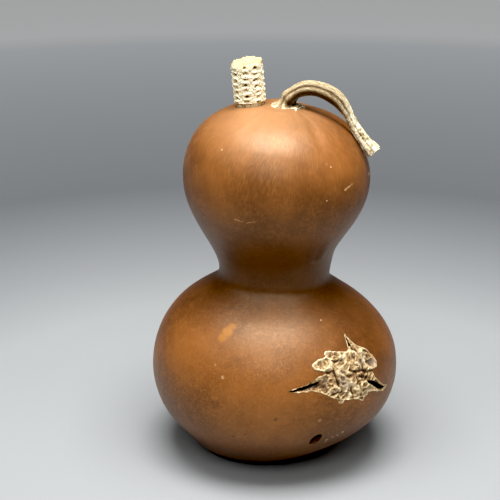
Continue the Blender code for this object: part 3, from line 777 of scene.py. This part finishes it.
def makeCob():
    radius, height, neck, pitch = cob["radius"], cob["height"], cob["neckHeight"], cob["rowPitch"]
    bend = cob["topRound"]
    top = [((radius - bend) * share, height) for share in np.linspace(0, 0.97, 20)]
    top += [(radius - bend * (1 - sin(tilt)), height - bend * (1 - cos(tilt)))
            for tilt in np.linspace(0, pi / 2, 22)]
    flank = [(radius, h) for h in np.linspace(height - bend - 0.15 * mm, neck + 0.05 * mm, 150)]
    whittled = [(cob["neckRadius"] + 0.35 * mm, neck)]
    whittled += [(cob["neckRadius"], h) for h in np.linspace(neck - 0.4 * mm, -3 * mm, 26)]
    tip, end = cob["tipRadius"], -cob["plugDepth"]
    plug = [(tip, end + 1.5 * mm), (tip - 1.5 * mm, end), (0, end)]
    piece = turned("cob_shelled", top + flank + whittled + plug, cob["sides"], pieces)
    points = meshPoints(piece.data)
    x, y, z = points.T
    turn, reach = np.arctan2(y, x), np.hypot(x, y)
    draw = np.random.default_rng(11)
    chance = draw.random((cob["columns"], cob["rows"], 5))
    spacing = tau / cob["columns"]
    column = np.round((turn - cob["columnTurn"]) / spacing)
    aside = (turn - cob["columnTurn"] - column * spacing) * radius / mm
    column = column.astype(int) % cob["columns"]
    up = (z - neck) / pitch + np.where(column % 2, 0.5, 0.12)
    row = np.clip(np.floor(up).astype(int), 0, cob["rows"] - 1)
    luck = chance[column, row]
    # mm above and beside the middle of the nearest socket
    above = (up - row - 0.5) * pitch / mm + (luck[:, 0] - 0.5) * 0.8
    aside = aside + (luck[:, 1] - 0.5) * 1.3
    wide, tall = 1.5 + 0.8 * luck[:, 2], 0.6 + 0.35 * luck[:, 3]
    # each socket: a dark, ragged, arched slot with a blunt lip over it; its dark is partly the cob's own
    # brown chaff and partly painted shade under the lip
    fine, coarse = lumps(points, 1.4 * mm, 7), lumps(points, 3.2 * mm, 8)
    aside, above = aside + 0.9 * lumps(points, 2.1 * mm, 20), above + 0.6 * lumps(points, 1.7 * mm, 21)
    slot = np.exp(-np.abs(aside / wide)**3 - ((above + 0.13 * aside**2) / tall)**2)
    slot = slot * (0.55 + 0.6 * luck[:, 4])
    knob = np.exp(-((above - 1.5) / 0.8)**2 - (aside / 2.4)**4)
    seam = np.exp(-((np.abs(aside) - 4.1) / 0.7)**2)
    onFlank = fade(neck - 0.1 * mm, neck + 0.5 * mm, z) * (1 - fade(height - 3 * mm, height - 0.8 * mm, z))
    crumbs = fade(0.3, 0.55, lumps(points, 1.3 * mm, 22)) * onFlank
    lift = (-2.6 * slot + 0.5 * knob - 0.3 * seam - 0.35 * crumbs - 0.2) * onFlank
    lift = lift + 0.45 * fine + 0.5 * coarse
    # the sockets, seams and crumbs are darkened as they sink: partly the cob's own brown, partly painted
    # shade
    tone = 0.96 - (1.2 * slot + 0.08 * seam + 0.18 * crumbs - 0.1 * knob) * onFlank + 0.1 * fine
    # the whittled neck under the lips, with the dark ends of the sockets' threads
    onNeck = 1 - fade(neck - 0.2 * mm, neck + 0.3 * mm, z)
    thread = lumps(around(turn, 9, z / (4 * mm)), 1, 9)
    lift = np.where(onNeck > 0.5, np.where(z > -4 * mm, 0.7 * thread - 0.35, 0), lift)
    tone = np.where(onNeck > 0.5, 0.5 + 0.7 * thread, tone)
    # the broken top: a lumpy mound, lowest to the left, with a few small holes
    onTop = fade(height - 4 * mm, height - 0.4 * mm, z)
    hill = 0.8 * np.cos(turn - radians(20)) * reach / radius + 1.5 * lumps(points, 4.5 * mm, 10)
    hill = hill + 0.7 * fine + 0.6
    holes = fade(0.34, 0.5, lumps(points, 2.2 * mm, 12)) * fade(1 * mm, 3 * mm, radius - reach)
    tone = tone - (0.4 * holes + 0.5) * fade(height - 4 * mm, height - 0.5 * mm, z)
    lift = np.minimum(lift, 0.6) * (1 - 0.7 * fade(height - 5.5 * mm, height - 3.5 * mm, z))
    swollen = 1 + lift * mm * fade(0, 4 * mm, reach) / np.maximum(reach, 2 * mm)
    points = np.stack([x * swollen, y * swollen, z + (hill - 1.2 * holes) * mm * onTop], -1)
    upright = np.array(Matrix.Rotation(cob["lean"], 3, "Y"))
    points = points @ upright.T + np.array(cob["foot"])
    low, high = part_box("cob_stopper")
    setPoints(piece.data, np.clip(points, low, high))
    paintPoints(piece.data, "tone", tone)
    piece.data.materials.append(shelledCob())
    smoothed(piece, 60)
    return piece


# The stalk: x, y, z and half-thickness in mm from its root over the arch to the broken end
stalk = {
    "route": [
        (6.8, -2, 247, 11.5), (6.8, -2, 250, 10.6), (6.8, -2.1, 251.4, 6.7), (8.2, -2.3, 254.6, 5.5),
        (11.2, -2.8, 258, 5), (17, -3.8, 261.6, 5.1), (24, -5, 262.8, 5.2), (33.5, -6.6, 260.5, 5.4),
        (42, -8, 254.9, 5.1), (47.8, -9, 246.8, 3.9), (52.3, -10.2, 238.5, 3.7), (55.8, -11.6, 233.4, 3.9),
        (60.2, -13.6, 227.6, 4.4), (64.4, -14.8, 223, 5.2), (65.9, -15.2, 221.4, 4.9)],
    "stations": 250,
    "sides": 96,
    # grooves round it, in degrees down from the side that faces -Y: place, depth as a share, half-width
    "grooves": [
        (-96, 0.04, 4), (-62, 0.04, 4), (-26, 0.14, 11), (34, 0.12, 16), (85, 0.1, 16), (140, 0.15, 13),
        (-168, 0.1, 8), (-128, 0.13, 8)],
    "fullGroove": 0.14,          # a groove this deep is as dark as grooves get
    "archSide": (-0.16, -0.98, 0.0),
    "twist": radians(28),
    "twistPivot": 0.3,
    # rings that close the broken end, hollowed and pitted: radius as a share, how far in front in mm
    "caps": [(0.96, 0.0), (0.88, -0.5), (0.76, -1.3), (0.6, -1.5), (0.4, -1.2), (0.2, -1.4), (0.04, -1.5)],
    "clearance": 0.25 * mm,
}


def makeStalk(rind):
    line = np.array(stalk["route"], float) * mm
    run = np.concatenate(([0], np.cumsum(np.sqrt((np.diff(line[:, :3], axis=0)**2).sum(1)))))
    firstSlope = (line[1] - line[0]) / run[1]
    lastSlope = (line[-1] - line[-2]) / (run[-1] - run[-2])
    tracks = [smoothThrough(run, line[:, i], firstSlope[i], lastSlope[i]) for i in range(4)]
    stations = run[-1] * np.linspace(0, 1, stalk["stations"])**1.1
    middle = np.stack([track(stations) for track in tracks[:3]], -1)
    thick = tracks[3](stations)
    heading = np.gradient(middle, axis=0)
    heading /= np.linalg.norm(heading, axis=1)[:, None]
    # kept square to the arch's plane, so that a groove stays on its side of the arch
    across = np.cross(heading, np.array(stalk["archSide"]))
    across /= np.linalg.norm(across, axis=1)[:, None]
    front = np.cross(across, heading)
    turn = np.linspace(0, tau, stalk["sides"], endpoint=False)
    caps = stalk["caps"]
    rows, tones, grains = [], [], []
    for i in range(len(stations) + len(caps)):
        k = min(i, len(stations) - 1)
        share, sunk = (1, 0) if i < len(stations) else caps[i - len(stations)]
        along = stations[k] / run[-1]
        angle = turn + stalk["twist"] * (along - stalk["twistPivot"])
        section = np.ones_like(turn)
        groove = np.zeros_like(turn)
        for at, depth, halfWidth in stalk["grooves"]:
            off = (turn - radians(at) + pi) % tau - pi
            dip = np.exp(-(off / radians(halfWidth))**2)
            section -= depth * dip
            groove += dip * depth / stalk["fullGroove"]
        section += 0.035 * lumps(around(turn, 2.4, stations[k] / (22 * mm)), 1, 13)
        section += 0.015 * lumps(around(turn, 7, stations[k] / (9 * mm)), 1, 14)
        # the flange at the root frays into the rind, and the broken end flares and frays
        height = middle[k, 2]
        root = 1 - fade(250.2 * mm, 252 * mm, height) if along < 0.2 else 0
        fray = lumps(around(turn, 1.6, 0), 1, 15)
        fringe = lumps(around(turn, 9, height / (0.7 * mm)), 1, 19)
        section += root * (0.14 * fray + 0.1 * fringe)
        nearEnd = fade(0.955, 1, along)
        burr = lumps(around(turn, 2.6, 0), 1, 16)
        section += nearEnd * (0.1 + 0.22 * burr)
        out = front[k][None] * np.cos(angle)[:, None] + across[k][None] * np.sin(angle)[:, None]
        places = middle[k] + out * (section * thick[k] * share)[:, None]
        pits = lumps(places, 1.8 * mm, 17)
        ahead = sunk + (0.9 * pits if share < 0.95 else 0) + 1.1 * burr * nearEnd * (share > 0.7)
        places = places + heading[k] * (ahead * mm)[:, None]
        rows.append(places)
        # dark in its grooves, darker along its underside (painted shade under the arch, partly the stalk's
        # own brown), pale at the frayed root and the broken end
        degrees = np.rad2deg((turn + pi) % tau - pi)
        tone = 0.52 - 0.3 * np.clip(groove, 0, 1.2) + root * (0.12 + 0.8 * fringe)
        underShade = fade(-2, 14, degrees) * (1 - fade(164, 178, degrees))
        tone = tone - 0.28 * underShade * (1 - fade(0.5, 0.7, along)) * (1 - root)
        low = fade(0.5, 0.7, along)
        tone = tone + low * (0.24 + 0.5 * lumps(places, 1.6 * mm, 18) + 0.4 * lumps(places, 5 * mm, 23))
        tone = np.where(share < 0.9, 0.45 + 0.9 * pits, tone + (0.1 + 0.5 * pits) * nearEnd)
        tones.append(tone)
        grains.append(around(turn, 1, stations[k] / (26 * mm)))
    points = np.concatenate(rows)
    count, sides = len(rows), stalk["sides"]
    faces = [(i + j, i + (j + 1) % sides, i + sides + (j + 1) % sides, i + sides + j)
             for i in range(0, (count - 1) * sides, sides) for j in range(sides)]
    faces += [tuple(range(sides))[::-1], tuple((count - 1) * sides + j for j in range(sides))]
    # past its root the stalk lies against the rind without sinking in
    tree = BVHTree.FromObject(rind, bpy.context.evaluated_depsgraph_get())
    for i in range(sides * stalk["stations"] // 3, len(points)):
        near, normal, _, away = tree.find_nearest(Vector(points[i]))
        if away < 6 * mm and (Vector(points[i]) - near).dot(normal) < stalk["clearance"]:
            points[i] = near + normal * stalk["clearance"]
    mesh = bpy.data.meshes.new("stem_stalk")
    mesh.from_pydata([tuple(point) for point in points], [], faces)
    piece = placed("stem_stalk", mesh, pieces)
    paintPoints(mesh, "tone", np.concatenate(tones))
    paintPoints(mesh, "grain", np.concatenate(grains))
    mesh.materials.append(driedStalk())
    smoothed(piece, 60)
    return piece


# A worm's hole low on the front: half-width and half-height in mm, and how far it leans
wormHole = {"at": (95.3 * mm, radians(-70.1)), "oval": (3.7, 5.4), "lean": radians(-24), "cell": 3 * mm}
# heights in mm between which the rind's looks change, and the middle and half-width of the waist's painted
# shade
rindZones = {"fibresTurn": (196, 246), "head": (186, 226), "footShade": (4, 62), "shadedWaist": (146, 38)}


def makeRind(mouth):
    body = skinBody("gourd_rind", shell["sides"], shell["rings"], handFeel, pieces)
    low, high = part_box("gourd")
    setPoints(body.data, np.clip(meshPoints(body.data), low, high))
    body.data.materials.append(waxedGourdRind())
    cavity = skinBody("cavity", shell["cavitySides"], shell["cavityRings"],
                      lambda points, along: -wallAt(along), cutters)
    c, s = cos(wormHole["lean"]), sin(wormHole["lean"])
    wide, tall = wormHole["oval"]
    oval = [(wide * cos(tau * i / 40), tall * sin(tau * i / 40)) for i in range(40)]
    oval = ragged([(x * c - y * s, x * s + y * c) for x, y in oval], 0.9, 0.5, 9.5)
    hole = skinSlab("worm_hole", wormHole["at"], oval, cutBottom, cutTop, wormHole["cell"], cutters)
    for cutter in (cavity, mouth, pocket, *tears, hole):
        cutBy(body, cutter, pith)
    body = baked(body)
    body.data.name = "gourd_rind"
    # the fibres run out from the stem over the head, and up and down lower on the gourd
    points = meshPoints(body.data)
    x, y, z = points.T
    rootShare = fade(*rindZones["fibresTurn"], z / mm)
    middleX = leanAt(z) * (1 - rootShare) + stemRoot.x * rootShare
    middleY = stemRoot.y * rootShare
    bearing = np.arctan2(y - middleY, x - middleX)
    reach = np.linalg.norm(points - np.array(stemRoot), axis=1)
    paintPoints(body.data, "grain", around(bearing, 1, reach / shell["headRadius"]))
    paintPoints(body.data, "head", fade(*rindZones["head"], z / mm) * 0.85 + 0.1)
    middle, halfWidth = rindZones["shadedWaist"]
    shadedWaist = np.exp(-((z / mm - middle) / halfWidth)**2)
    # painted shade: the waist and the foot are darkened where the overhead light doesn't reach
    paintPoints(body.data, "stain", 0.74 * shadedWaist + 0.72 * (1 - fade(*rindZones["footShade"], z / mm)))
    smoothed(body, 40)
    return body


cobPiece = makeCob()
print("cob made", len(cobPiece.data.vertices))
cobAxis = Matrix.Rotation(cob["lean"], 3, "Y") @ Vector((0, 0, 1))
mouth = rod("mouth", cob["foot"] + cobAxis * cob["mouthAbove"], cob["foot"] - cobAxis * cob["mouthBelow"],
            cob["neckRadius"] + cob["mouthSlack"], cob["mouthSides"], cutters)
rind = makeRind(mouth)
print("rind made", len(rind.data.vertices))
stalkPiece = makeStalk(rind)
print("stalk made", len(stalkPiece.data.vertices))
cork.data.materials.clear()
cork.data.materials.append(healedCork())
cork.data.materials.append(pith)
smoothed(cork, 50)
for cutter in list(cutters.objects):
    bpy.data.objects.remove(cutter, do_unlink=True)

for piece, node, slot in ((rind, "gourd", "gourd_rind"), (stalkPiece, "stem", "dry_stem"),
                          (cobPiece, "cob_stopper", "corn_cob"), (cork, "burst", "corky_scar")):
    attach(piece, "root")
    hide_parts(node)
print("pieces dressed")

# The stage: a grey paper floor that darkens away from the gourd as painted shade and glows further
# out as painted light for a backdrop, a wide soft box overhead, weak ones to the front and sides, and a
# dim room
stage = {
    "floorReach": 6,
    "floorDrop": 0.2 * mm,       # just under the foot's flat face
    "rampReach": 1.5,            # metres at the end of the floor's colour ramps
    # distance from the middle, the floor's colour there (darker outward as painted shade), and how much
    # it glows as a lit backdrop (painted light)
    "floor": [
        (0.0, "#9b9d9e", 0.0), (0.27, "#9b9d9e", 0.0), (0.38, "#8c8e90", 0.0), (0.62, "#505356", 0.1),
        (1.4, "#565a5d", 0.28), (6.0, "#565a5d", 0.34)],
    # bearing from the camera and elevation in degrees, distance, width and depth, power in watts
    "lights": {
        "overheadLight": (0, 83, 1.2, 0.9, 0.7, 33),
        "frontLight": (-2, 40, 1.2, 0.8, 0.4, 5.1),
        "leftLight": (-60, 45, 1.2, 0.5, 0.6, 2.2),
        "rightLight": (60, 45, 1.2, 0.5, 0.6, 1.4),
    },
    "aimHeight": 0.13,
    "roomColour": "#b9bfc4",
    "roomStrength": 0.06,
    # the photo's own view, fitted to the gourd's outline
    "lens": 102.86,
    "cameraPlace": (-0.0175, -0.9397, 0.4878),
    "cameraTilt": radians(70),
    "blackLevel": 0.012,         # the camera's deepest tones go to black a little early
}


def makeStage():
    bpy.ops.mesh.primitive_circle_add(vertices=96, radius=stage["floorReach"], fill_type="NGON",
                                      location=(0, 0, -stage["floorDrop"]))
    floor = bpy.context.object
    floor.name = "floor"
    material, add, shader = startMaterial("mattPaperSweep", {
        "Roughness": 0.9, "IOR": 1.4, "Emission Strength": 1})
    rampReach = stage["rampReach"]
    place = add("TexCoord", out="Object")
    flat = add("VectorMath", {0: place, 1: (1 / rampReach, 1 / rampReach, 0)}, operation="MULTIPLY")
    away = add("VectorMath", {0: flat}, out="Value", operation="LENGTH")
    shades = [(min(reach / rampReach, 1), shade) for reach, shade, _ in stage["floor"]]
    colour = add("ValToRGB", {0: away}, stops=shades)
    glow = add("ValToRGB", {0: away}, out=None)
    ramp = glow.color_ramp.elements
    for reach, _, light in stage["floor"][1:-1]:
        ramp.new(reach / rampReach).color = (light * 0.97, light, light * 1.03, 1)
    ramp[0].color = (0, 0, 0, 1)
    ramp[-1].color = [stage["floor"][-1][2]] * 3 + [1]
    feed(shader, {"Base Color": colour, "Emission Color": glow.outputs[0]})
    floor.data.materials.append(material)
    aim = Vector((0, 0, stage["aimHeight"]))
    for name, (bearing, elevation, distance, width, depth, power) in stage["lights"].items():
        light = bpy.data.objects.new(name, bpy.data.lights.new(name, "AREA"))
        light.data.shape = "RECTANGLE"
        light.data.size, light.data.size_y = width, depth
        light.data.energy = power
        bearing, elevation = radians(bearing), radians(elevation)
        out = Vector((sin(bearing) * cos(elevation), -cos(bearing) * cos(elevation), sin(elevation)))
        light.location = aim + out * distance
        light.rotation_euler = (-out).to_track_quat("-Z", "Y").to_euler()
        scene.collection.objects.link(light)
    room = bpy.data.worlds.new("room")
    room.use_nodes = True
    background = room.node_tree.nodes["Background"]
    background.inputs["Color"].default_value = linear(stage["roomColour"])
    background.inputs["Strength"].default_value = stage["roomStrength"]
    scene.world = room
    camera = bpy.data.objects.new("camera", bpy.data.cameras.new("camera"))
    camera.data.sensor_width = 36
    camera.data.lens = stage["lens"]
    camera.location = stage["cameraPlace"]
    camera.rotation_euler = (stage["cameraTilt"], 0, 0)
    camera.data.clip_start = 0.05
    scene.collection.objects.link(camera)
    scene.camera = camera
    view = scene.view_settings
    view.view_transform = "Standard"
    view.use_curve_mapping = True
    view.curve_mapping.black_level = [stage["blackLevel"]] * 3
    view.curve_mapping.update()


makeStage()
bpy.context.scene.camera = scene.camera
